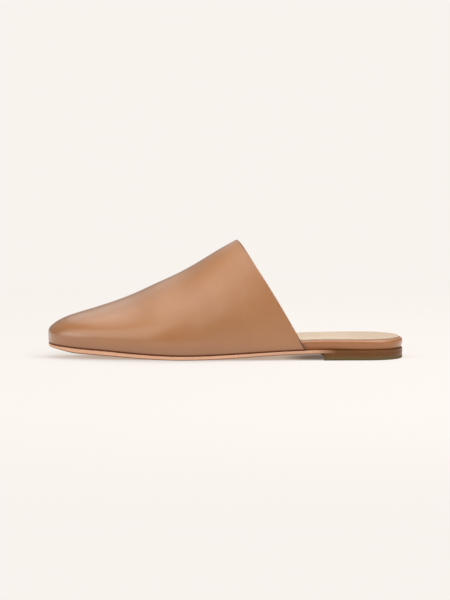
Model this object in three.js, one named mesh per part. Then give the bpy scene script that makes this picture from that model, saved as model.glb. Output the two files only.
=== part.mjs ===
import * as THREE from "three";
import { mergeVertices } from "three/addons/utils/BufferGeometryUtils.js";

// A flat leather mule for the left foot, in millimetres. The toe points along +X, the outer side
// of the foot is +Y, and +Z is up. Lengths are measured from the back of the heel.

// Sole
const SOLE_LENGTH = 255.7;
const BALL_WIDTH = 82;
const OUTSOLE = 2.75;
const OUTSOLE_AT_HEEL = 2.3;
const OUTSOLE_AT_TOE = 3.75;
const HEEL_LIFT = 2.6;
const TOP_PIECE = 2.3;
const HEEL_LENGTH = 59.6;
const BREAST_CURVE = 3;
const TREAD_AT = 153;
const TREAD_LENGTH = 8;
const TOE_SPRING = 6.2;
const TIP_LIFT = 1.6;
const TIP_LENGTH = 20;
const SOLE_CUP = 1.3;
const OUTSOLE_SHOULDER = 0.25;
const OUTSOLE_BEVEL = 0.7;

// Footbed and the sock on it
const FOOTBED_AT_HEEL = 7;
const FOOTBED_AT_BALL = 4;
const SOCK = 0.9;
const SOCK_MARGIN = 0.4;
const FOOTBED_SHOULDER = 1.1;
const FOOTBED_ROUND = 0.3;
const FOOTBED_TUCK = 1.5;
const SOCK_SHOULDER = 0.3;

// Upper
const THROAT_HEIGHT = 83.5;
const VAMP_LENGTH = 135.5;
const WING_LENGTH = 47.6;
const TOPLINE_BOW = 2.2;
const WALL = 1.8;

// Ends of the outline and of the toe's profile
const HEEL_ROUND = 28;
const TOE_ROUND = 46;
const TOE_DROP = 20;
const HEEL_SQUARENESS = 2.15;
const TOE_SQUARENESS = 2.7;
const TOE_DROP_SQUARENESS = 2.9;

// Clearance between pieces that meet on a curved face
const SEAM = 0.3;

// The last, a row for each cross-section. "at" is a share of the sole's length. Widths are shares of
// the ball width: the sole's middle and half width, the swell of the upper past the sole, and where
// its ridge lies across. Heights are shares of the throat height: the widest line above the sole,
// and the ridge above the floor. "outer" and "inner" say how square each side of the arch is.
const LAST = [
  ["at", "centre", "half", "swell", "widest", "ridge", "lean", "outer", "inner"],
  [0.00,  0.000, 0.345, 0.010, 0.160, 1.500, -0.020, 2.10, 2.10],
  [0.11,  0.000, 0.350, 0.010, 0.160, 1.470, -0.020, 2.10, 2.10],
  [0.24,  0.006, 0.347, 0.010, 0.160, 1.350, -0.020, 2.10, 2.10],
  [0.38,  0.030, 0.352, 0.018, 0.160, 1.163, -0.030, 2.10, 2.10],
  [0.50,  0.040, 0.395, 0.030, 0.150, 0.962, -0.055, 2.05, 2.10],
  [0.62,  0.026, 0.468, 0.042, 0.125, 0.740, -0.100, 1.95, 2.15],
  [0.70, -0.002, 0.500, 0.044, 0.115, 0.621, -0.125, 1.90, 2.25],
  [0.77, -0.028, 0.487, 0.042, 0.110, 0.521, -0.130, 1.92, 2.30],
  [0.86, -0.050, 0.437, 0.032, 0.100, 0.423, -0.115, 2.10, 2.35],
  [0.94, -0.058, 0.385, 0.016, 0.090, 0.350, -0.085, 2.30, 2.40],
  [1.00, -0.060, 0.350, 0.004, 0.084, 0.287, -0.060, 2.40, 2.40],
];

// Edge of each slab from its top face down: how far it is set in, and its height as a share of the
// thickness.
const OUTSOLE_EDGE = [
  { inset: OUTSOLE_SHOULDER, level: 1 },
  { inset: 0, level: 0.85 },
  { inset: 0, level: 0.35 },
  { inset: OUTSOLE_BEVEL, level: 0 },
];
const FOOTBED_EDGE = [
  { inset: FOOTBED_SHOULDER, level: 1 },
  { inset: FOOTBED_ROUND, level: 0.9 },
  { inset: 0, level: 0.7 },
  { inset: FOOTBED_ROUND, level: 0.45 },
  { inset: FOOTBED_TUCK, level: 0 },
];
const SOCK_EDGE = [
  { inset: SOCK_SHOULDER, level: 1 },
  { inset: 0, level: 0.6 },
  { inset: 0, level: 0 },
];
const FLAT_SHARE = 0.5;
const SPRING_CURVE = 1.5;

// How finely each piece is cut
const HEEL_STATIONS = 9;
const WAIST_STATIONS = 15;
const TOE_STATIONS = 14;
const STATION_GAP = 3;
const SLAB_ACROSS = 8;
const WING_COLUMNS = 14;
const VAMP_COLUMNS = 15;
const UPPER_ROWS = 14;
const TUCK_SHARE = 0.2;
const HALVINGS = 40;
const NUDGE = 0.001;

const HEEL_HEIGHT = HEEL_LIFT + TOP_PIECE;
const TREAD_END = TREAD_AT + TREAD_LENGTH;
const THROAT_AT = SOLE_LENGTH - VAMP_LENGTH;
const WING_AT = THROAT_AT - WING_LENGTH;

const INNER = -1;
const OUTER = 1;

const clamp = THREE.MathUtils.clamp;
const lerp = THREE.MathUtils.lerp;
const smooth = (x) => THREE.MathUtils.smoothstep(x, 0, 1);

// Reads a table smoothly: gives every column at a share of the length.
function readTable([[, ...columns], ...rows]) {
  const positions = rows.map((row) => row[0]);
  const values = rows.flatMap((row) => row.slice(1));
  const spline = new THREE.CubicInterpolant(positions, values, columns.length);
  return (share) => {
    const result = spline.evaluate(clamp(share, 0, 1));
    return Object.fromEntries(columns.map((name, i) => [name, result[i]]));
  };
}
const lastAt = readTable(LAST);

// One at the start of a rounded end, and nothing at its tip.
function roundOff(x, squareness) {
  return Math.pow(1 - Math.pow(clamp(x, 0, 1), squareness), 1 / squareness);
}

// The sole's middle line and half width at a length, both ends rounded.
function outline(u) {
  const { centre, half } = lastAt(u / SOLE_LENGTH);
  const heel = roundOff(1 - u / HEEL_ROUND, HEEL_SQUARENESS);
  const toe = roundOff(1 - (SOLE_LENGTH - u) / TOE_ROUND, TOE_SQUARENESS);
  return { centre: centre * BALL_WIDTH, half: half * BALL_WIDTH, ends: heel * toe };
}

// A length moved by an inset, which pulls both ends of the outline in.
function insetLength(u, inset) {
  const heel = clamp(1 - u / HEEL_ROUND, 0, 1);
  const toe = clamp(1 - (SOLE_LENGTH - u) / TOE_ROUND, 0, 1);
  return u + inset * (heel - toe);
}

// Nothing over the heel, one from the tread on.
const forward = (u) => smooth((u - HEEL_LENGTH) / (TREAD_AT - HEEL_LENGTH));

// The toe's spring, from nothing at the tread to one at the tip, and the thinning of the sole's tip.
const toeRise = (u) => Math.pow(clamp((u - TREAD_END) / (SOLE_LENGTH - TREAD_END), 0, 1), SPRING_CURVE);
const tipLift = (u) => TIP_LIFT * smooth(1 - (SOLE_LENGTH - u) / TIP_LENGTH);

// Underside of the sole. "across" is 0 in the middle and 1 at the edge, which is cupped up.
function soleUnder(u, across) {
  const shank = HEEL_HEIGHT * (1 - forward(u));
  const cupped = forward(u) * smooth((SOLE_LENGTH - u) / TOE_ROUND);
  const edge = smooth((Math.abs(across) - FLAT_SHARE) / (1 - FLAT_SHARE));
  return shank + TOE_SPRING * toeRise(u) + tipLift(u) + SOLE_CUP * cupped * edge;
}
function outsoleThickness(u) {
  const thickness = lerp(OUTSOLE_AT_HEEL, OUTSOLE, forward(u));
  return thickness + (OUTSOLE_AT_TOE - OUTSOLE) * toeRise(u) - tipLift(u);
}
const footbedThickness = (u) => lerp(FOOTBED_AT_HEEL, FOOTBED_AT_BALL, forward(u));
const soleTop = (u, across) => soleUnder(u, across) + outsoleThickness(u);
const footbedUnder = (u, across) => soleTop(u, across) + SEAM;
const footbedTop = (u, across) => footbedUnder(u, across) + footbedThickness(u);
const sockUnder = (u, across) => footbedTop(u, across) + SEAM;
const sockTop = (u, across) => sockUnder(u, across) + SOCK;

// The footbed is as wide as the heel at the back, and slips inside the upper from its wings on.
const footbedInset = (u) => (WALL + SEAM) * smooth((u - HEEL_ROUND) / (WING_AT - HEEL_ROUND));
const sockInset = (u) => footbedInset(u) + FOOTBED_SHOULDER + SOCK_MARGIN;

// Adds two triangles for each cell of a grid of points.
function addGrid(triangles, grid, flip) {
  for (let i = 1; i < grid.length; i++) {
    for (let j = 1; j < grid[i].length; j++) {
      const [a, b, c, d] = [grid[i - 1][j - 1], grid[i][j - 1], grid[i][j], grid[i - 1][j]];
      triangles.push(...(flip ? [a, c, b, a, d, c] : [a, b, c, a, c, d]));
    }
  }
}

// A closed geometry from corner points in threes, without the triangles that have collapsed.
function closedGeometry(triangles) {
  const merged = mergeVertices(new THREE.BufferGeometry().setFromPoints(triangles));
  const index = [...merged.index.array];
  const kept = [];
  for (let i = 0; i < index.length; i += 3) {
    const [a, b, c] = index.slice(i, i + 3);
    if (a !== b && b !== c && c !== a) kept.push(a, b, c);
  }
  merged.setIndex(kept);
  merged.computeVertexNormals();
  return merged;
}

// Lengths at which the pieces are cut, closer together where an end is round.
function heelStations() {
  return Array.from({ length: HEEL_STATIONS + 1 }, (_, i) =>
    HEEL_ROUND * (1 - Math.cos((i / HEEL_STATIONS) * Math.PI / 2)));
}

function toeStations() {
  return Array.from({ length: TOE_STATIONS + 1 }, (_, i) =>
    SOLE_LENGTH - TOE_ROUND * (1 - Math.sin((i / TOE_STATIONS) * Math.PI / 2)));
}

function soleStations() {
  const toeStart = SOLE_LENGTH - TOE_ROUND;
  const waist = Array.from({ length: WAIST_STATIONS - 1 }, (_, i) =>
    lerp(HEEL_ROUND, toeStart, (i + 1) / WAIST_STATIONS));
  const marks = [HEEL_LENGTH, TREAD_AT, TREAD_END];
  const away = (u) => marks.every((mark) => Math.abs(u - mark) > STATION_GAP);
  return [...heelStations(), ...waist.filter(away), ...marks, ...toeStations()].sort((a, b) => a - b);
}

// A slab that follows the sole from heel to toe between two heights, with the given edge.
function slab(edge, insetAt, under, over) {
  const rings = soleStations().map((u) => {
    const { centre, half, ends } = outline(u);
    const point = (across, inset, level) => new THREE.Vector3(
      insetLength(u, insetAt(u) + inset),
      centre + across * (half - insetAt(u) - inset) * ends,
      lerp(under(u, across), over(u, across), level));
    const face = (row) => Array.from({ length: SLAB_ACROSS + 1 }, (_, k) =>
      point(1 - (2 * k) / SLAB_ACROSS, row.inset, row.level));
    const sides = edge.slice(1, -1);
    const ring = [
      ...face(edge[0]),
      ...sides.map((row) => point(INNER, row.inset, row.level)),
      ...face(edge.at(-1)).reverse(),
      ...sides.map((row) => point(OUTER, row.inset, row.level)).reverse(),
    ];
    return [...ring, ring[0]];
  });
  const triangles = [];
  addGrid(triangles, rings, true);
  return closedGeometry(triangles);
}

// A flat layer of the heel, with a curved breast at its front.
function heelLayer(bottom, thickness) {
  const lengths = [...heelStations(), lerp(HEEL_ROUND, HEEL_LENGTH, 0.5), HEEL_LENGTH];
  const edge = (side) => lengths.map((u) => {
    const { centre, half, ends } = outline(u);
    return new THREE.Vector2(u, centre + side * half * ends);
  });
  const outer = edge(OUTER);
  const inner = edge(INNER).reverse();
  const shape = new THREE.Shape([...inner.slice(0, -1), ...outer]);
  const hollow = (outer.at(-1).y + inner[0].y) / 2;
  shape.quadraticCurveTo(HEEL_LENGTH - 2 * BREAST_CURVE, hollow, inner[0].x, inner[0].y);
  const geometry = new THREE.ExtrudeGeometry(shape, {
    depth: thickness, bevelEnabled: false, curveSegments: SLAB_ACROSS,
  });
  return geometry.translate(0, 0, bottom);
}

// Height of the ridge line, which drops to the widest line at the tip of the toe.
function ridgeHeight(u) {
  const { widest, ridge } = lastAt(u / SOLE_LENGTH);
  const tip = soleTop(u, 1) + SEAM + widest * THROAT_HEIGHT;
  const drop = roundOff(1 - (SOLE_LENGTH - u) / TOE_DROP, TOE_DROP_SQUARENESS);
  return lerp(tip, ridge * THROAT_HEIGHT, drop);
}

// A point of the upper's outer face. "rise" runs from 0 at the sole to 1 at the ridge: first a tuck
// that swells out from the sole, then a quarter of a rounded arch.
function upperPoint(u, side, rise) {
  const { swell, widest, lean, outer, inner } = lastAt(u / SOLE_LENGTH);
  const { centre, half, ends } = outline(u);
  const foot = soleTop(u, 1) + SEAM;
  const waist = foot + widest * THROAT_HEIGHT;
  if (rise < TUCK_SHARE) {
    const left = 1 - rise / TUCK_SHARE;
    const out = swell * BALL_WIDTH * (1 - left * left);
    return new THREE.Vector3(
      insetLength(u, -out),
      centre + side * (half + out) * ends,
      lerp(waist, foot, left));
  }
  const turn = ((rise - TUCK_SHARE) / (1 - TUCK_SHARE)) * (Math.PI / 2);
  const square = side === OUTER ? outer : inner;
  const reach = Math.pow(Math.cos(turn) ** square + Math.sin(turn) ** square, -1 / square);
  const offset = (lean * BALL_WIDTH - centre) * ends;
  const span = (half + swell * BALL_WIDTH) * ends - side * offset;
  return new THREE.Vector3(
    insetLength(u, -swell * BALL_WIDTH),
    centre + offset + side * span * reach * Math.max(Math.cos(turn), 0),
    waist + (ridgeHeight(u) - waist) * reach * Math.sin(turn));
}

// Unit normal of the outer face, level along the sole's edge so that the wall stands on it.
function upperNormal(u, side, rise) {
  if (u > SOLE_LENGTH - NUDGE) return new THREE.Vector3(1, 0, 0);
  const along = upperPoint(u + NUDGE, side, rise).sub(upperPoint(u - NUDGE, side, rise));
  const above = Math.min(rise + NUDGE, 1);
  const below = Math.max(rise - NUDGE, 0);
  const up = rise === 1
    ? new THREE.Vector3(0, -side, 0)
    : upperPoint(u, side, above).sub(upperPoint(u, side, below));
  const normal = along.cross(up).multiplyScalar(-side);
  if (rise === 0) normal.z = 0;
  return normal.normalize();
}

// Length at which the topline cuts a line of constant rise, behind the throat.
function toplineAt(side, rise) {
  const foot = upperPoint(WING_AT, side, 0).z;
  const peak = ridgeHeight(THROAT_AT);
  let [back, front] = [WING_AT, THROAT_AT];
  for (let i = 0; i < HALVINGS; i++) {
    const u = (back + front) / 2;
    const share = (u - WING_AT) / WING_LENGTH;
    const line = lerp(foot, peak, share) + TOPLINE_BOW * Math.sin(share * Math.PI);
    if (upperPoint(u, side, rise).z > line) back = u;
    else front = u;
  }
  return rise > 0 ? back : WING_AT;
}

// The upper is one wall: two outer and two inner faces that meet along the ridge and the toe, joined
// by the rim on the sole and the rim along the topline.
function upper() {
  const vamp = Array.from({ length: VAMP_COLUMNS }, (_, i) =>
    lerp(THROAT_AT, SOLE_LENGTH - TOE_ROUND, i / VAMP_COLUMNS));
  const front = [...vamp, ...toeStations()];
  const rises = Array.from({ length: UPPER_ROWS + 1 }, (_, j) => j / UPPER_ROWS);
  const triangles = [];
  for (const side of [OUTER, INNER]) {
    const rows = rises.map((rise) => {
      const back = toplineAt(side, rise);
      const wing = Array.from({ length: WING_COLUMNS }, (_, i) => lerp(back, THROAT_AT, i / WING_COLUMNS));
      return [...wing, ...front].map((u) => {
        const outside = upperPoint(u, side, rise);
        const inside = outside.clone().addScaledVector(upperNormal(u, side, rise), -WALL);
        return { outside, inside };
      });
    });
    const face = (name) => rows.map((row) => row.map((point) => point[name]));
    addGrid(triangles, face("outside"), side === INNER);
    addGrid(triangles, face("inside"), side === OUTER);
    addGrid(triangles, rows[0].map((point) => [point.outside, point.inside]), side === INNER);
    addGrid(triangles, rows.map((row) => [row[0].outside, row[0].inside]), side === OUTER);
  }
  return closedGeometry(triangles);
}

function piece(name, geometry, color, roughness) {
  const material = new THREE.MeshStandardMaterial({ color, roughness, metalness: 0 });
  const mesh = new THREE.Mesh(geometry, material);
  mesh.name = name;
  return mesh;
}

const shoe = new THREE.Group();
shoe.add(
  piece("top_piece", heelLayer(0, TOP_PIECE), "#4f3c2a", 0.7),
  piece("heel_lift", heelLayer(TOP_PIECE, HEEL_LIFT), "#6a4630", 0.45),
  piece("outsole", slab(OUTSOLE_EDGE, () => 0, soleUnder, soleTop), "#d6a282", 0.55),
  piece("footbed", slab(FOOTBED_EDGE, footbedInset, footbedUnder, footbedTop), "#b07a54", 0.45),
  piece("sock", slab(SOCK_EDGE, sockInset, sockUnder, sockTop), "#dfcbb4", 0.6),
  piece("upper", upper(), "#bb8a66", 0.42),
);

// The origin is on the floor, under the middle of the shoe.
const box = new THREE.Box3().setFromObject(shoe);
const middle = box.getCenter(new THREE.Vector3());
shoe.position.set(-middle.x, -middle.y, -box.min.z);

export default new THREE.Group().add(shoe);
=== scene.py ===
import math

import bmesh
import bpy
import numpy as np
from mathutils import Matrix, Vector, noise


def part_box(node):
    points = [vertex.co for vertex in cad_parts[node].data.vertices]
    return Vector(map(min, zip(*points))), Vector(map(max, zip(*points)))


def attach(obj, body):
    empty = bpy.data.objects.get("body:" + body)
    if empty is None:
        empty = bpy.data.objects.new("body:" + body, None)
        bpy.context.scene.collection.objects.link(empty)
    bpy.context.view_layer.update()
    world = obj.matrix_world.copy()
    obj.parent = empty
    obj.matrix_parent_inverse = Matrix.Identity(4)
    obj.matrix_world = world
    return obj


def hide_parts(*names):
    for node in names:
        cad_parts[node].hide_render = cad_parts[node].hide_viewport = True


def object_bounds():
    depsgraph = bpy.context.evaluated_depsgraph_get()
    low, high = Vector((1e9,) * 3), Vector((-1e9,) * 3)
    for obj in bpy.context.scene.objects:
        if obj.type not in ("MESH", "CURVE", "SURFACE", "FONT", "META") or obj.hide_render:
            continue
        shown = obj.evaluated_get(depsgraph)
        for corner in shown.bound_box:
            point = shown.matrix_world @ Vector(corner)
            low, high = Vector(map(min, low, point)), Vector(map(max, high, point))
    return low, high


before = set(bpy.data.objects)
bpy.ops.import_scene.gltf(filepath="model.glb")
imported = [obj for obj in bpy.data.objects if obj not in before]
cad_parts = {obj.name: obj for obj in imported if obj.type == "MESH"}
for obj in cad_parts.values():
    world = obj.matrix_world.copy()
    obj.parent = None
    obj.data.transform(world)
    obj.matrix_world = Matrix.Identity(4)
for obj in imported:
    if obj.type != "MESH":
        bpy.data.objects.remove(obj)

cad_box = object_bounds()
MM = 0.001

# Sizes of the shoe in millimetres, lengths measured from the back of the heel
SOLE_LENGTH = 255.7
BALL_WIDTH = 82
HEEL_LENGTH = 59.6
HEEL_HEIGHT = 4.9
TOP_PIECE = 2.3
TREAD_AT = 153
TREAD_END = 161
TOE_SPRING = 6.2
TIP_LIFT = 1.6
TIP_LENGTH = 20
SPRING_CURVE = 1.5
SOLE_CUP = 1.3
FLAT_SHARE = 0.5
OUTSOLE = 2.75
OUTSOLE_AT_HEEL = 2.3
OUTSOLE_AT_TOE = 3.75
FOOTBED_AT_HEEL = 7
FOOTBED_AT_BALL = 4
SOCK = 0.9
SOCK_MARGIN = 1.5
SOCK_HEEL_MARGIN = 1.1
SEAM = 0.3
WALL = 1.8
BREAST_CURVE = 3
HEEL_ROUND = 28
TOE_ROUND = 46
TOE_DROP = 20
HEEL_SQUARENESS = 2.15
TOE_SQUARENESS = 2.7
TOE_DROP_SQUARENESS = 2.9

# The upper: lengths in millimetres, and rises as shares of the way from the sole to the ridge
THROAT_HEIGHT = 83.5
THROAT_AT = 120.2
WING_AT = 72.6
TOPLINE_BOW = 2.2
INNER_TOPLINE_BACK = 2.7
PEAK_SOFTENING, PEAK_FROM = 0.6, 0.88  # the throat's peak is lowered by, from this rise up
TUCK_SHARE = 0.2
LEATHER = 1.15
LINING = 0.6
LINING_DROP = 1.6
GLUE = 0.04
FOLD_ROUNDNESS, FOLD_FULL_AT = 0.9, 0.03  # the topline's rolled edge, and the rise where it has its full size
UNEVENNESS = 0.11
FEATHER_TURN = 0.45
FEATHER_TURN_HEIGHT = 1.6

# The last, a row for each cross-section, as shares of the sole's length, ball width and throat height
LAST = [
    ["at", "centre", "half", "swell", "widest", "ridge", "lean", "outer", "inner"],
    [0.00, 0.000, 0.345, 0.010, 0.160, 1.500, -0.020, 2.10, 2.10],
    [0.11, 0.000, 0.350, 0.010, 0.160, 1.470, -0.020, 2.10, 2.10],
    [0.24, 0.006, 0.347, 0.010, 0.160, 1.350, -0.020, 2.10, 2.10],
    [0.38, 0.030, 0.352, 0.018, 0.160, 1.163, -0.030, 2.10, 2.10],
    [0.50, 0.040, 0.395, 0.030, 0.150, 0.962, -0.055, 2.05, 2.10],
    [0.62, 0.026, 0.468, 0.042, 0.125, 0.740, -0.100, 1.95, 2.15],
    [0.70, -0.002, 0.500, 0.044, 0.115, 0.621, -0.125, 1.90, 2.25],
    [0.77, -0.028, 0.487, 0.042, 0.110, 0.521, -0.130, 1.92, 2.30],
    [0.86, -0.050, 0.437, 0.032, 0.100, 0.423, -0.115, 2.10, 2.35],
    [0.94, -0.058, 0.385, 0.016, 0.090, 0.350, -0.085, 2.30, 2.40],
    [1.00, -0.060, 0.350, 0.004, 0.084, 0.287, -0.060, 2.40, 2.40],
]

# Edges of the sole's layers from the top face down: set in by, and height as a share of the thickness
OUTSOLE_EDGE = [(0.5, 1), (0.2, 0.975), (0.04, 0.9), (0, 0.72), (0, 0.42), (0.08, 0.25), (0.32, 0.09),
                (0.7, 0)]
FOOTBED_EDGE = [(1.9, 1), (1.3, 0.995), (0.75, 0.955), (0.32, 0.88), (0.08, 0.78), (0, 0.66), (0.1, 0.5),
                (0.36, 0.33), (0.75, 0.17), (1.25, 0.05), (1.6, 0)]
SOCK_EDGE = [(0.55, 1), (0.25, 0.93), (0.06, 0.72), (0, 0.45), (0, 0)]
LAYER_EDGE = [(0.07, 1), (0.02, 0.98), (0, 0.94), (0, 0.06), (0.02, 0.02), (0.07, 0)]
TREAD_EDGE = [(0.1, 1), (0.03, 0.975), (0, 0.93), (0, 0.16), (0.08, 0.06), (0.3, 0)]
OUTSOLE_FLUSH = 0.88  # the share by which the edge over the heel loses its bevel

# Where the upper darkens: painted shade where it turns under at the sole and at the fold, a painted shadow at
# the wing's lower corner, and a joint line of stain and painted shade; millimetres above the sole's edge, and
# millimetres from the topline
JOINT_STAIN_AND_SHADE = (0.7, 1.9)
TURN_UNDER_SHADE = (0.5, 5)
CORNER_SHADOW_RISE = (5, 11)
FOLD_SHADE = (0.2, 1.5)
CORNER_SHADOW_EDGE = (0.5, 1.4)

# Where the other leathers change, in stain, tone and painted shade: metres along the shoe, and shares of a
# layer's thickness
HEEL_SHADE = (-0.125, -0.03)
WAIST_SHADE = (-0.03, 0.02)
STAIN_ENDS = (-0.08, -0.058)
NO_STAIN_END = (0.1, 0.2)
LOW_EDGE = (0.14, 0.28)

OUTER, INNER = 1, -1


def smooth(x):
    """Nothing at 0, one at 1, and soft between them."""
    x = np.clip(x, 0, 1)
    return x * x * (3 - 2 * x)


def lerp(a, b, x):
    return a + (b - a) * x


def last_at(u):
    """Every column of the last at the lengths u, read smoothly between the rows."""
    names, rows = LAST[0], np.array(LAST[1:])
    at, values = rows[:, 0], rows[:, 1:]
    secant = np.diff(values, axis=0) / np.diff(at)[:, None]
    slope = np.vstack([secant[:1], (secant[1:] + secant[:-1]) / 2, secant[-1:]])
    share = np.clip(np.asarray(u, float) / SOLE_LENGTH, 0, 1)
    i = np.clip(np.searchsorted(at, share, side="right") - 1, 0, len(at) - 2)
    step = (at[i + 1] - at[i])[..., None]
    t = (share - at[i])[..., None] / step
    result = ((2 * t ** 3 - 3 * t ** 2 + 1) * values[i] + (t ** 3 - 2 * t ** 2 + t) * step * slope[i]
              + (3 * t ** 2 - 2 * t ** 3) * values[i + 1] + (t ** 3 - t ** 2) * step * slope[i + 1])
    return {name: result[..., k] for k, name in enumerate(names[1:])}


def round_off(x, squareness):
    """Height of a rounded end, from one where it starts to nothing at its tip."""
    return (1 - np.clip(x, 0, 1) ** squareness) ** (1 / squareness)


def outline(u):
    """Centre line, half width and rounding of the ends, seen from above."""
    row = last_at(u)
    heel = round_off(1 - u / HEEL_ROUND, HEEL_SQUARENESS)
    toe = round_off(1 - (SOLE_LENGTH - u) / TOE_ROUND, TOE_SQUARENESS)
    return row["centre"] * BALL_WIDTH, row["half"] * BALL_WIDTH, heel * toe


def inset_length(u, inset):
    """Lengths moved in from both round ends by an inset."""
    heel = np.clip(1 - u / HEEL_ROUND, 0, 1)
    toe = np.clip(1 - (SOLE_LENGTH - u) / TOE_ROUND, 0, 1)
    return u + inset * (heel - toe)


def forward(u):
    """How far along from the heel's breast to the tread, 0 to 1."""
    return smooth((u - HEEL_LENGTH) / (TREAD_AT - HEEL_LENGTH))


def toe_rise(u):
    """The share of the toe's spring, from nothing at the tread to one at the tip."""
    return np.clip((u - TREAD_END) / (SOLE_LENGTH - TREAD_END), 0, 1) ** SPRING_CURVE


def tip_lift(u):
    """How much thinner the sole's tip gets from below."""
    return TIP_LIFT * smooth(1 - (SOLE_LENGTH - u) / TIP_LENGTH)


def sole_under(u, across):
    """The sole's underside: level on the heel, down to the tread and up to the toe, its forepart cupped."""
    cupped = forward(u) * smooth((SOLE_LENGTH - u) / TOE_ROUND)
    edge = smooth((abs(across) - FLAT_SHARE) / (1 - FLAT_SHARE))
    return HEEL_HEIGHT * (1 - forward(u)) + TOE_SPRING * toe_rise(u) + tip_lift(u) + SOLE_CUP * cupped * edge


def sole_top(u, across):
    thickness = lerp(OUTSOLE_AT_HEEL, OUTSOLE, forward(u)) + (OUTSOLE_AT_TOE - OUTSOLE) * toe_rise(u)
    return sole_under(u, across) + thickness - tip_lift(u)


def footbed_under(u, across):
    return sole_top(u, across) + SEAM / 2


def footbed_top(u, across):
    return sole_top(u, across) + SEAM + lerp(FOOTBED_AT_HEEL, FOOTBED_AT_BALL, forward(u))


def sock_under(u, across):
    return footbed_top(u, across) + GLUE / 2


def sock_top(u, across):
    return footbed_top(u, across) + SEAM + SOCK


def footbed_inset(u):
    """The footbed is as wide as the heel at the back, and fits inside the upper further forward."""
    return (WALL + SEAM) * smooth((u - HEEL_ROUND) / (WING_AT - HEEL_ROUND))


def sock_inset(u):
    return footbed_inset(u) + SOCK_MARGIN + SOCK_HEEL_MARGIN * smooth(1 - u / HEEL_ROUND)


def ridge_height(u):
    """Height of the ridge, which drops to the toe's widest line at the tip."""
    row = last_at(u)
    tip = sole_top(u, 1) + SEAM + row["widest"] * THROAT_HEIGHT
    drop = round_off(1 - (SOLE_LENGTH - u) / TOE_DROP, TOE_DROP_SQUARENESS)
    return lerp(tip, row["ridge"] * THROAT_HEIGHT, drop)


def upper_point(u, side, rise):
    """Points of the upper's outer face: rise is 0 at the sole and 1 at the ridge."""
    row = last_at(u)
    centre, half, ends = outline(u)
    foot = sole_top(u, 1) + SEAM / 2
    waist = foot + row["widest"] * THROAT_HEIGHT
    swell = row["swell"] * BALL_WIDTH
    left = np.clip(1 - rise / TUCK_SHARE, 0, 1)
    low = lerp(waist, foot, left)
    turn_in = FEATHER_TURN * np.clip(1 - (low - foot) / FEATHER_TURN_HEIGHT, 0, 1) ** 2
    out = swell * (1 - left ** 2) - turn_in
    turn = np.clip((rise - TUCK_SHARE) / (1 - TUCK_SHARE), 0, 1) * math.pi / 2
    square = row["outer"] if side == OUTER else row["inner"]
    cos, sin = np.maximum(np.cos(turn), 0), np.sin(turn)
    reach = (cos ** square + sin ** square) ** (-1 / square)
    offset = (row["lean"] * BALL_WIDTH - centre) * ends
    span = (half + swell) * ends - side * offset
    tucked = rise < TUCK_SHARE
    y = np.where(tucked, centre + side * (half + out) * ends, centre + offset + side * span * reach * cos)
    z = np.where(tucked, low, waist + (ridge_height(u) - waist) * reach * sin)
    return np.stack([inset_length(u, -np.where(tucked, out, swell)), y, z], -1)


def upper_normal(u, side, rise):
    """Outward directions of the upper's outer face."""
    nudge = 1e-3
    u = np.minimum(u, SOLE_LENGTH - 2 * nudge)
    above, below = np.minimum(rise + nudge, 1), np.maximum(rise - nudge, 0)
    along = upper_point(u + nudge, side, rise) - upper_point(u - nudge, side, rise)
    up = upper_point(u, side, above) - upper_point(u, side, below)
    up[rise >= 1] = (0, -side, 0)
    normal = np.cross(along, up) * -side
    normal[rise <= 0, 2] = 0
    return normal / np.linalg.norm(normal, axis=-1, keepdims=True)


def topline_at(side, rise, lower):
    """Length at which the topline, lowered by some millimetres, cuts each line of constant rise."""
    lower = lower + PEAK_SOFTENING * smooth((rise - PEAK_FROM) / (1 - PEAK_FROM))
    if side == INNER:
        lower = lower - INNER_TOPLINE_BACK * smooth((1 - rise) / 0.3) * smooth(rise / 0.6)
    foot = float(sole_top(WING_AT, 1) + SEAM)
    peak = float(ridge_height(THROAT_AT))
    back, front = np.full_like(rise, WING_AT), np.full_like(rise, THROAT_AT + 3)
    for _ in range(40):
        u = (back + front) / 2
        share = np.clip((u - WING_AT) / (THROAT_AT - WING_AT), 0, 1.2)
        line = lerp(foot, peak, share) + TOPLINE_BOW * np.sin(np.minimum(share, 1) * math.pi) - lower
        over = upper_point(u, side, rise)[..., 2] > line
        back, front = np.where(over, u, back), np.where(over, front, u)
    return back


def ease(count, a, b):
    """Lengths from a to b, closer together towards b, where an end is round."""
    return a + (b - a) * np.sin(np.linspace(0, math.pi / 2, count))


def own_shift():
    """Where the last's frame lies in the part's frame, found from the upper's widest line."""
    lengths, rise = np.linspace(WING_AT, SOLE_LENGTH, 400), np.full(400, TUCK_SHARE)
    outer, inner = upper_point(lengths, OUTER, rise), upper_point(lengths, INNER, rise)
    low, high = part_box("upper")
    middle = (outer[:, 1].max() + inner[:, 1].min()) / 2
    return np.array([high.x / MM - outer[:, 0].max(), (low.y + high.y) / 2 / MM - middle, 0])


SHIFT = own_shift()


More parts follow.
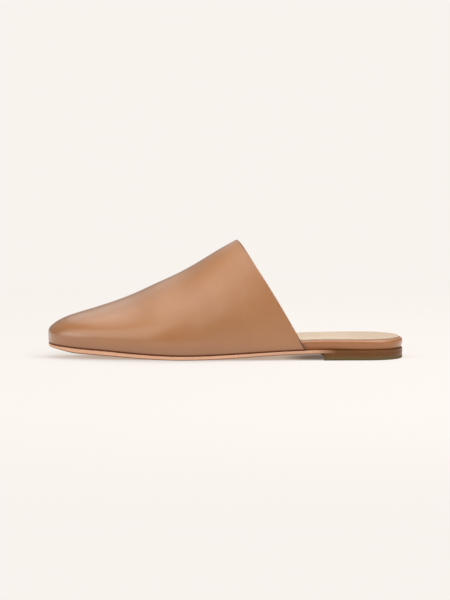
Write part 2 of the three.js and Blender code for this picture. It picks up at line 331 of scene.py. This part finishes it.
class Body:
    """Points and faces of one piece, in the last's millimetres, with named numbers at the points."""

    def __init__(self, name):
        self.name, self.points, self.faces, self.marks = name, [], [], {}

    def grid(self, points, flip=False, **marks):
        """Rows and columns of points, joined by four-sided faces."""
        rows, columns = points.shape[:2]
        start = sum(len(p) for p in self.points)
        self.points.append(points.reshape(-1, 3))
        index = start + np.arange(rows * columns).reshape(rows, columns)
        quads = np.stack([index[:-1, :-1], index[1:, :-1], index[1:, 1:], index[:-1, 1:]], -1).reshape(-1, 4)
        self.faces.append(quads[:, ::-1] if flip else quads)
        for name, values in marks.items():
            self.marks.setdefault(name, []).append(np.broadcast_to(values, (rows, columns)).reshape(-1))

    def build(self, material, replaces=()):
        """The piece itself, its doubled points merged."""
        points = (np.vstack(self.points) + SHIFT) * MM
        mesh = bpy.data.meshes.new(self.name)
        mesh.from_pydata(points.tolist(), [], np.vstack(self.faces).tolist())
        for name, values in self.marks.items():
            mesh.attributes.new(name, "FLOAT", "POINT").data.foreach_set("value", np.concatenate(values))
        work = bmesh.new()
        work.from_mesh(mesh)
        bmesh.ops.remove_doubles(work, verts=work.verts, dist=0.5e-5)
        bmesh.ops.dissolve_degenerate(work, dist=1e-7, edges=work.edges)
        bmesh.ops.recalc_face_normals(work, faces=work.faces)
        work.to_mesh(mesh)
        work.free()
        mesh.shade_smooth()
        mesh.materials.append(material)
        piece = bpy.data.objects.new(self.name, mesh)
        bpy.context.scene.collection.objects.link(piece)
        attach(piece, "root")
        if replaces:
            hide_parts(*replaces)


def undulate(points, normals, depth):
    """Moves points along their normals by a soft, fixed unevenness, as hide has."""
    flat, out = points.reshape(-1, 3), normals.reshape(-1, 3)
    wave = np.array([noise.noise(Vector(p / 21)) + 0.4 * noise.noise(Vector(p / 8)) for p in flat])
    return points + (out * wave[:, None] * depth).reshape(points.shape)


def upper_shell(name, near, far, lower, material):
    """One layer of the upper between two depths under its outer face, with a rounded edge at the topline."""
    rises = np.concatenate([np.linspace(0, 0.06, 9)[:-1], np.linspace(0.06, 0.9, 44)[:-1],
                            np.linspace(0.9, 1, 9)])
    front = np.concatenate([np.linspace(THROAT_AT + 1, SOLE_LENGTH - TOE_ROUND, 48)[:-1],
                            ease(40, SOLE_LENGTH - TOE_ROUND, SOLE_LENGTH)])
    slant = 0.85
    shell = Body(name)
    for side in (OUTER, INNER):
        back = topline_at(side, rises, lower)
        wing = lerp(back[:, None], front[0], np.linspace(0, 1, 37)[None, :-1])
        u = np.hstack([wing, np.tile(front, (len(rises), 1))])
        rise = np.tile(rises[:, None], (1, u.shape[1]))
        face, normal = upper_point(u, side, rise), upper_normal(u, side, rise)
        feather = face[..., 2] - sole_top(u, 1)
        edge = (u - back[:, None]) * slant
        face = undulate(face, normal, UNEVENNESS)
        outside, inside = face - normal * near, face - normal * far
        shell.grid(outside, side == INNER, feather=feather, edge=edge)
        shell.grid(inside, side == OUTER, feather=feather, edge=edge)
        shell.grid(np.stack([outside[0], inside[0]]), side == OUTER, feather=0, edge=9)
        along = np.gradient(face[:, 0], axis=0)
        away = np.cross(along, normal[:, 0]) * side
        away /= np.linalg.norm(away, axis=-1, keepdims=True)
        middle, half = (outside[:, 0] + inside[:, 0]) / 2, (outside[:, 0] - inside[:, 0]) / 2
        bend = np.linspace(0, math.pi, 9)[None, :, None]
        fold = (far - near) / 2 * FOLD_ROUNDNESS * np.minimum(1, rises / FOLD_FULL_AT)[:, None, None]
        rim = middle[:, None] + half[:, None] * np.cos(bend) - away[:, None] * fold * np.sin(bend)
        shell.grid(rim, side == INNER, feather=feather[:, :1], edge=0)
    shell.build(material, ["upper"] if near == 0 else ())


def topline_stitch(material):
    """Fine stitches along the topline, each a small capsule pressed into the leather."""
    drop, pitch, length, radius, pressed_in = 3.2, 2.6, 1.9, 0.17, 0.02
    rises = np.linspace(0.035, 1, 400)
    paths = []
    for side in (OUTER, INNER):
        u = topline_at(side, rises, drop)
        paths.append((upper_point(u, side, rises), upper_normal(u, side, rises)))
    points = np.vstack([paths[0][0], paths[1][0][::-1][1:]])
    normals = np.vstack([paths[0][1], paths[1][1][::-1][1:]])
    run = np.concatenate([[0], np.cumsum(np.linalg.norm(np.diff(points, axis=0), axis=1))])
    thread = Body("topline_stitch")
    ring = np.linspace(0, 2 * math.pi, 9)
    caps = [(-1, 0.15), (-0.92, 0.6), (-0.7, 1), (0.7, 1), (0.92, 0.6), (1, 0.15)]
    for start in np.arange(pitch, run[-1] - pitch, pitch):
        at = lambda s: np.array([np.interp(s, run, points[:, k]) for k in range(3)])
        a, b = at(start), at(start + length)
        normal = np.array([np.interp(start + length / 2, run, normals[:, k]) for k in range(3)])
        normal /= np.linalg.norm(normal)
        along = (b - a) / np.linalg.norm(b - a)
        across = np.cross(along, normal)
        middle = (a + b) / 2 - normal * pressed_in
        round_it = np.cos(ring)[:, None] * across + np.sin(ring)[:, None] * normal
        rings = [middle + along * length / 2 * share + round_it * radius * size for share, size in caps]
        thread.grid(np.array(rings), feather=9, edge=1)
    thread.build(material)


def stations():
    """Lengths of the sole's cross-sections, closer together towards the round ends."""
    heel = HEEL_ROUND - ease(22, 0, HEEL_ROUND)[::-1]
    waist = np.linspace(HEEL_ROUND, SOLE_LENGTH - TOE_ROUND, 74)
    return np.unique(np.concatenate([heel, waist, [HEEL_LENGTH, TREAD_AT, TREAD_END],
                                     ease(36, SOLE_LENGTH - TOE_ROUND, SOLE_LENGTH)]))


def slab(name, edge, inset_at, under, over, material, flush=0):
    """A layer that follows the sole, with the given edge, which is flush by some share over the heel."""
    u = stations()
    centre, half, ends = outline(u)
    set_in = inset_at(u)
    taken = 1 - flush * (1 - forward(u))

    def line(across, inset, level):
        inset = inset * taken
        y = centre + across * (half - set_in - inset) * ends
        z = lerp(under(u, across), over(u, across), level)
        return np.stack([inset_length(u, set_in + inset), y, z], -1)

    spread = np.linspace(1, -1, 25)
    top = [line(a, *edge[0]) for a in spread]
    bottom = [line(a, *edge[-1]) for a in spread[::-1]]
    down = [line(INNER, *row) for row in edge[1:-1]]
    up = [line(OUTER, *row) for row in edge[-2:0:-1]]
    rings = top + down + bottom + up + top[:1]
    level = [1] * len(top) + [row[1] for row in edge[1:-1]] + [0] * len(bottom)
    level += [row[1] for row in edge[-2:0:-1]] + [1]
    layer = Body("finished_" + name)
    layer.grid(np.array(rings), level=np.array(level)[:, None])
    layer.build(material, [name])


def heel_layer(name, bottom, thickness, edge, material):
    """A level layer of the heel, its breast curved in at the front."""
    u = np.concatenate([HEEL_ROUND - ease(26, 0, HEEL_ROUND)[::-1],
                        np.linspace(HEEL_ROUND, HEEL_LENGTH, 10)[1:]])
    centre, half, ends = outline(u)
    outer = np.stack([u, centre + half * ends], -1)
    inner = np.stack([u, centre - half * ends], -1)
    t = np.linspace(0, 1, 20)[1:-1, None]
    tip = np.array([HEEL_LENGTH - 2 * BREAST_CURVE, (outer[-1, 1] + inner[-1, 1]) / 2])
    breast = (1 - t) ** 2 * outer[-1] + 2 * t * (1 - t) * tip + t ** 2 * inner[-1]
    loop = np.vstack([outer, breast, inner[:0:-1]])
    ahead, behind = np.roll(loop, -1, axis=0), np.roll(loop, 1, axis=0)
    tangent = (ahead - behind) / np.linalg.norm(ahead - behind, axis=1, keepdims=True)
    inward = np.stack([tangent[:, 1], -tangent[:, 0]], -1)
    middle = loop.mean(0)
    rows = [(share, edge[0]) for share in (0, 0.5)] + [(1, row) for row in edge]
    rows += [(share, edge[-1]) for share in (0.5, 0)]
    rings = []
    for share, (inset, level) in rows:
        ring = lerp(middle, loop + inward * inset, share)
        rings.append(np.column_stack([ring, np.full(len(ring), bottom + thickness * level)]))
    rings = np.array([np.vstack([ring, ring[:1]]) for ring in rings])
    layer = Body("finished_" + name)
    layer.grid(rings, level=np.array([1, 1] + [row[1] for row in edge] + [0, 0])[:, None])
    layer.build(material, [name])


def linear(red, green, blue):
    """A colour as it is seen, 0 to 255, in the renderer's own light values."""
    def one(v):
        v /= 255
        return v / 12.92 if v <= 0.04045 else ((v + 0.055) / 1.055) ** 2.4
    return one(red), one(green), one(blue), 1


class Signal:
    """A number that changes over a surface. Sums of signals become nodes."""

    def __init__(self, finish, socket):
        self.finish, self.socket = finish, socket

    def maths(self, operation, *values):
        made = self.finish.node("ShaderNodeMath", {"operation": operation}, *values)
        return Signal(self.finish, made.outputs[0])

    def __add__(self, other):
        return self.maths("ADD", self, other)

    def __sub__(self, other):
        return self.maths("SUBTRACT", self, other)

    def __rsub__(self, other):
        return self.maths("SUBTRACT", other, self)

    def __mul__(self, other):
        return self.maths("MULTIPLY", self, other)

    __radd__, __rmul__ = __add__, __mul__

    def between(self, low, high):
        """Nothing below low, one above high, and soft between them."""
        soft = {"interpolation_type": "SMOOTHSTEP"}
        made = self.finish.node("ShaderNodeMapRange", soft, self, low, high, 0, 1)
        return Signal(self.finish, made.outputs[0])


class Finish:
    """A material made of nodes round one Principled shader."""

    def __init__(self, name, **constants):
        self.material = bpy.data.materials.new(name)
        self.material.use_nodes = True
        self.tree = self.material.node_tree
        self.shader = self.tree.nodes["Principled BSDF"]
        for socket, value in constants.items():
            self.shader.inputs[socket.replace("_", " ")].default_value = value
        place = self.node("ShaderNodeTexCoord", {})
        self.place = place.outputs["Object"]

    def node(self, kind, settings, *values, **named):
        """Any node: its settings first, then the values or links of its sockets."""
        made = self.tree.nodes.new(kind)
        for name, value in settings.items():
            setattr(made, name, value)
        sockets = list(zip(made.inputs, values))
        sockets += [(made.inputs[name.replace("_", " ")], value) for name, value in named.items()]
        for socket, value in sockets:
            value = getattr(value, "socket", value)
            if isinstance(value, bpy.types.NodeSocket):
                self.tree.links.new(value, socket)
            else:
                socket.default_value = value
        return made

    def mark(self, name):
        """A number kept at the points of the piece."""
        return Signal(self, self.node("ShaderNodeAttribute", {"attribute_name": name}).outputs["Fac"])

    def axis(self, name):
        """A coordinate of the part in metres."""
        return Signal(self, self.node("ShaderNodeSeparateXYZ", {}, self.place).outputs[name])

    def mottle(self, size, detail=3.0, roughness=0.5, stretch=(1, 1, 1)):
        """Cloudy variation with patches of the given size in millimetres."""
        scaled = self.node("ShaderNodeVectorMath", {"operation": "MULTIPLY"}, self.place, stretch)
        made = self.node("ShaderNodeTexNoise", {}, Vector=scaled.outputs[0], Scale=1000 / size, Detail=detail,
                         Roughness=roughness)
        return Signal(self, made.outputs["Fac"])

    def pores(self, size):
        """Grain in cells of the given size in millimetres."""
        made = self.node("ShaderNodeTexVoronoi", {"feature": "F1"}, Vector=self.place, Scale=1000 / size)
        return Signal(self, made.outputs["Distance"])

    def blend(self, factor, first, second):
        made = self.node("ShaderNodeMix", {"data_type": "RGBA"})
        for index, value in ((0, factor), (6, first), (7, second)):
            value = getattr(value, "socket", value)
            if isinstance(value, bpy.types.NodeSocket):
                self.tree.links.new(value, made.inputs[index])
            else:
                made.inputs[index].default_value = value
        return made.outputs[2]

    def finish(self, colour, roughness, relief, depth):
        """Joins colour, roughness and relief to the shader, the relief's depth in millimetres."""
        bump = self.node("ShaderNodeBump", {}, Strength=1.0, Distance=depth * MM, Height=relief)
        for name, value in (("Base Color", colour), ("Roughness", roughness), ("Normal", bump.outputs[0])):
            self.tree.links.new(getattr(value, "socket", value), self.shader.inputs[name])
        return self.material


def smooth_calf(name, light, dark, gloss, glaze, shade_and_stain_marks=True):
    """Smooth polished hide: fine grain and a cloudy dye, with painted shade where it turns under at the
    feather and at the fold, a painted shadow at the wing's lower corner, and a dark line at the feather that
    is stain and painted shade.
    """
    f = Finish(name, Specular_IOR_Level=0.3, Coat_Weight=glaze, Coat_Roughness=0.3, Coat_IOR=1.68)
    cloud = f.mottle(34, 4, 0.55).between(0.3, 0.72)
    speckle = f.mottle(1.6, 2, 0.6).between(0.35, 0.7)
    colour = f.blend(cloud * 0.45 + speckle * 0.2, linear(*light), linear(*dark))
    if shade_and_stain_marks:
        low = f.mark("feather")
        # painted shade: darker within a few millimetres of the sole, where the upper turns under
        colour = f.blend((1 - low.between(*TURN_UNDER_SHADE)) * 0.3, colour, linear(*[c * 0.8 for c in dark]))
        # the joint line at the feather: dark stain and painted shade of the gap to the sole; matt there,
        # without coat
        clear_of_joint_line = low.between(*JOINT_STAIN_AND_SHADE)
        colour = f.blend((1 - clear_of_joint_line) * 0.97, colour, linear(100, 46, 12))
        f.tree.links.new((clear_of_joint_line * glaze).socket, f.shader.inputs["Coat Weight"])
        fold = f.mark("edge")
        colour = f.blend((1 - fold.between(*FOLD_SHADE)) * 0.1, colour, linear(*[c * 0.75 for c in dark]))
        # painted shadow at the wing's lower rear corner, where the upper stands proud of the footbed
        corner = (1 - fold.between(*CORNER_SHADOW_EDGE)) * (1 - low.between(*CORNER_SHADOW_RISE))
        colour = f.blend(corner * 0.9, colour, linear(76, 34, 10))
    grain = f.pores(0.62).between(0.05, 0.5)
    fine = f.mottle(0.35, 2)
    roughness = gloss + 0.1 * f.mottle(9, 3) + 0.06 * grain - 0.05
    if shade_and_stain_marks:
        roughness = roughness + (1 - clear_of_joint_line) * 0.45
    return f.finish(colour, roughness, grain * 0.6 + fine * 0.4, 0.035)


def lining_hide(name, light, dark, dust_and_shade):
    """Matt lining leather with a soft nap, with painted shade darker towards the heel."""
    f = Finish(name, Specular_IOR_Level=0.35)
    colour = f.blend(f.mottle(26, 4, 0.6).between(0.3, 0.7) * 0.7 + f.mottle(1.1, 2).between(0.3, 0.8) * 0.2,
                     linear(*light), linear(*dark))
    # painted shade: darker towards the heel
    colour = f.blend((1 - f.axis("X").between(*HEEL_SHADE)) * 0.8, colour, linear(*dust_and_shade))
    grain = f.pores(0.5).between(0.05, 0.5)
    return f.finish(colour, 0.55 + 0.12 * f.mottle(3, 3), grain * 0.5 + f.mottle(0.4, 3) * 0.5, 0.05)


def sole_leather(name, bare, stained, fade, low, gloss=0.45):
    """Dense sole leather with a fibrous edge: bare and pale in front, stained and polished over the heel,
    with painted shade at the waist and a darker lower edge (painted shade on the outsole, the olive tone of
    the heel lift).
    """
    f = Finish(name, Specular_IOR_Level=0.25)
    length = f.axis("X")
    fibre = f.mottle(1.3, 3, 0.6, (1, 1, 4)).between(0.3, 0.75)
    cloud = f.mottle(18, 3).between(0.3, 0.7)
    pale = f.blend(fibre * 0.35 + cloud * 0.25, linear(*bare), linear(*[c * 0.84 for c in bare]))
    dark = f.blend(fibre * 0.4 + cloud * 0.3, linear(*stained), linear(*[c * 0.72 for c in stained]))
    pale = f.blend((1 - length.between(*WAIST_SHADE)) * 0.8, pale, linear(*[c * 0.87 for c in bare]))
    front = length.between(*fade)
    colour = f.blend(front, dark, pale)
    # darker along the lower edge: painted shade of the outsole's lower bevel; the heel lift's own olive lower
    # part
    colour = f.blend((1 - f.mark("level").between(*LOW_EDGE)) * 0.85, colour, linear(*low))
    roughness = gloss - 0.12 + 0.1 * f.mottle(4, 3) + 0.12 * front
    return f.finish(colour, roughness, fibre * 0.7 + f.mottle(0.3, 2) * 0.3, 0.05)


def moulded_rubber(name, colour, dust_and_shade):
    """Dull rubber with a little dust on it."""
    f = Finish(name, Specular_IOR_Level=0.4)
    dust = f.mottle(7, 4, 0.6).between(0.4, 0.75)
    tint = f.blend(dust * 0.6, linear(*colour), linear(*dust_and_shade))
    return f.finish(tint, 0.62 + 0.12 * dust, f.mottle(0.5, 3), 0.06)


calf = smooth_calf("polished_calf", (158, 105, 60), (147, 94, 51), 0.28, 1)
wrap = smooth_calf("footbed_wrap", (152, 96, 52), (144, 88, 44), 0.3, 0.7, False)
lining = lining_hide("lining_hide", (190, 156, 124), (176, 140, 108), (176, 140, 108))
# the sock's third colour is its painted shade towards the heel
sock_hide = lining_hide("sock_hide", (205, 188, 168), (194, 175, 154), (174, 151, 131))
# the outsole's last colour is the painted shade of its lower bevel
sole = sole_leather("sole_leather", (221, 171, 139), (111, 70, 34), STAIN_ENDS, (104, 58, 28))
stacked = sole_leather("stacked_leather", (107, 67, 32), (107, 67, 32), NO_STAIN_END, (106, 78, 44), 0.36)
rubber = moulded_rubber("heel_rubber", (87, 69, 34), (92, 76, 42))

upper_shell("upper_leather", 0, LEATHER, 0.1, calf)
upper_shell("upper_lining", LEATHER + GLUE, LEATHER + GLUE + LINING, LINING_DROP, lining)
topline_stitch(calf)
slab("footbed", FOOTBED_EDGE, footbed_inset, footbed_under, footbed_top, wrap)
slab("sock", SOCK_EDGE, sock_inset, sock_under, sock_top, sock_hide)
slab("outsole", OUTSOLE_EDGE, np.zeros_like, sole_under, sole_top, sole, OUTSOLE_FLUSH)
heel_layer("heel_lift", TOP_PIECE, HEEL_HEIGHT - TOP_PIECE, LAYER_EDGE, stacked)
heel_layer("top_piece", 0, TOP_PIECE, TREAD_EDGE, rubber)

# Studio: a level sheet of pale paper, and an even backdrop of the same tone beyond it
PAPER = linear(249, 243, 238)
PAPER_NEAR = (0.72, 0.675, 0.66, 1)
PAPER_HALF = 12
CEILING = 1.3  # height of the banks of light, metres
BANK_TINT = (1, 0.985, 0.955)
LAMP_TINT = (1, 0.98, 0.94)
SHADE_REACH = (0.125, 0.028)  # half axes of the ellipse that the shoe shades, metres
BREAST_AT = (-0.072, 0.01, 0)


def paper_sheet():
    """A level sheet of paper, large enough to fill the view."""
    lines = 9
    sides = np.linspace(-PAPER_HALF, PAPER_HALF, lines)
    points = [(x, y, 0) for y in sides for x in sides]
    corners = [row * lines + column for row in range(lines - 1) for column in range(lines - 1)]
    faces = [(at, at + 1, at + lines + 1, at + lines) for at in corners]
    mesh = bpy.data.meshes.new("paper")
    mesh.from_pydata(points, [], faces)
    sheet = bpy.data.objects.new("paper", mesh)
    bpy.context.scene.collection.objects.link(sheet)
    return sheet


def paper_finish():
    """Paper that glows evenly further away; close by it takes part of the shoe's shadow, and the rest of its
    glow there is painted light that lightens that shadow, least by the heel's breast and tinted brown under
    the shoe as a painted shadow.
    """
    f = Finish("studio_paper", Roughness=0.9, Specular_IOR_Level=0.1)
    f.shader.inputs["Base Color"].default_value = PAPER_NEAR
    distance = f.node("ShaderNodeVectorMath", {"operation": "LENGTH"}, f.place)
    far = Signal(f, distance.outputs["Value"]).between(0.3, 0.8)
    beside = f.node("ShaderNodeVectorMath", {"operation": "MULTIPLY"}, f.place,
                    (1 / SHADE_REACH[0], 1 / SHADE_REACH[1], 0))
    close = f.node("ShaderNodeVectorMath", {"operation": "LENGTH"}, beside.outputs[0])
    open_air = Signal(f, close.outputs["Value"]).between(0.7, 1.2)
    breast = f.node("ShaderNodeVectorMath", {"operation": "DISTANCE"}, f.place, BREAST_AT)
    recess = 1 - Signal(f, breast.outputs["Value"]).between(0.014, 0.036)
    # share of glow, painted light: lower inside the shaded ellipse and lowest by the heel's breast
    lit = open_air * 0.22 + 0.6 - recess * 0.42
    # the glow is tinted brown under the shoe, a painted shadow
    glow = f.node("ShaderNodeEmission", {}, f.blend(open_air, linear(226, 203, 184), PAPER), 1.0)
    joined = f.node("ShaderNodeMixShader", {}, lit + far * (1 - lit), f.shader.outputs[0], glow.outputs[0])
    f.tree.links.new(joined.outputs[0], f.tree.nodes["Material Output"].inputs["Surface"])
    return f.material


def studio_air():
    """Weak, even light from all round, behind a backdrop that only the camera sees."""
    world = bpy.data.worlds.new("studio")
    bpy.context.scene.world = world
    world.use_nodes = True
    sky, links = world.node_tree.nodes, world.node_tree.links
    ambient, backdrop = sky["Background"], sky.new("ShaderNodeBackground")
    ambient.inputs["Color"].default_value = (1, 0.99, 0.97, 1)
    ambient.inputs["Strength"].default_value = 0.25
    backdrop.inputs["Color"].default_value = PAPER
    pick, path = sky.new("ShaderNodeMixShader"), sky.new("ShaderNodeLightPath")
    links.new(path.outputs["Is Camera Ray"], pick.inputs[0])
    links.new(ambient.outputs[0], pick.inputs[1])
    links.new(backdrop.outputs[0], pick.inputs[2])
    links.new(pick.outputs[0], sky["World Output"].inputs[0])


def softbox(name, place, aim, size, radiance, colour):
    """A soft light that shines evenly over its face, given by its brightness as seen."""
    light = bpy.data.lights.new(name, "AREA")
    light.shape = "RECTANGLE"
    light.size, light.size_y = size
    light.energy = radiance * math.pi * size[0] * size[1]
    light.color = colour
    lamp = bpy.data.objects.new(name, light)
    facing = (Vector(place) - Vector(aim)).to_track_quat("Z", "Y").to_matrix().to_4x4()
    lamp.matrix_world = Matrix.Translation(place) @ facing
    lamp.visible_camera = False
    bpy.context.scene.collection.objects.link(lamp)
    return lamp


def ceiling_bank(name, corner, run, sizes, radiance):
    """A level bank of light overhead. Its corner and sizes are given in shares of its height."""
    run = Vector((*run, 0)).normalized()
    inward = Vector((run.y, -run.x, 0))
    wide, long = sizes[0] * CEILING, sizes[1] * CEILING
    place = Vector((*corner, 1)) * CEILING + inward * wide / 2 - run * long / 2
    lamp = softbox(name, place, (0, 0, 0), (wide, long), radiance, BANK_TINT)
    facing = Matrix((inward, run, inward.cross(run))).transposed().to_4x4()
    lamp.matrix_world = Matrix.Translation(place) @ facing


paper_sheet().data.materials.append(paper_finish())
studio_air()
ceiling_bank("front_bank", (0.3, 0.2), (0.522, -0.853), (1.1, 2.6), 3.3)
ceiling_bank("top_bank", (0.42, -0.88), (0, -1), (1.44, 1.05), 1.35)
ceiling_bank("rear_bank", (0.5, -3), (0, -1), (1.6, 2.1), 0.55)
softbox("heel_side", (-1.5, 0.7, 0.6), (-0.1, 0, 0.03), (1.2, 1.0), 0.9, LAMP_TINT)
softbox("toe_front", (1.5, 0.45, 0.35), (0.1, 0, 0.03), (1.1, 0.66), 1.5, LAMP_TINT)
softbox("toe_side", (1.56, 1.31, 1.3), (0.05, 0, 0.03), (3.0, 2.2), 1.3, LAMP_TINT)

# Camera at the photograph's angle: side on, a little towards the toe and just above the floor
AZIMUTH, ELEVATION, ROLL = math.radians(176), math.radians(4.8), math.radians(0.3)
AWAY = 2.2
LENS = 182.88
SENSOR = 36
ASIDE, DOWN = 0.72, 1.3  # millimetres


def photo_camera():
    """Places the camera and makes it the scene's own."""
    middle = Vector((0, 0, (cad_box[0][2] + cad_box[1][2]) / 2))
    level = math.cos(ELEVATION)
    look = Vector((-math.sin(AZIMUTH) * level, math.cos(AZIMUTH) * level, -math.sin(ELEVATION)))
    right = look.cross(Vector((0, 0, 1))).normalized()
    above = right.cross(look)
    across = (right * math.cos(ROLL) + above * math.sin(ROLL)).normalized()
    upright = (above * math.cos(ROLL) - right * math.sin(ROLL)).normalized()
    eye = middle - look * AWAY - across * ASIDE * MM - upright * DOWN * MM
    camera_data = bpy.data.cameras.new("camera")
    camera_data.lens = LENS
    camera_data.sensor_width = SENSOR
    camera = bpy.data.objects.new("camera", camera_data)
    bpy.context.scene.collection.objects.link(camera)
    camera.matrix_world = Matrix.Translation(eye) @ Matrix((across, upright, -look)).transposed().to_4x4()
    bpy.context.scene.camera = camera


photo_camera()
bpy.context.scene.view_settings.view_transform = "Standard"
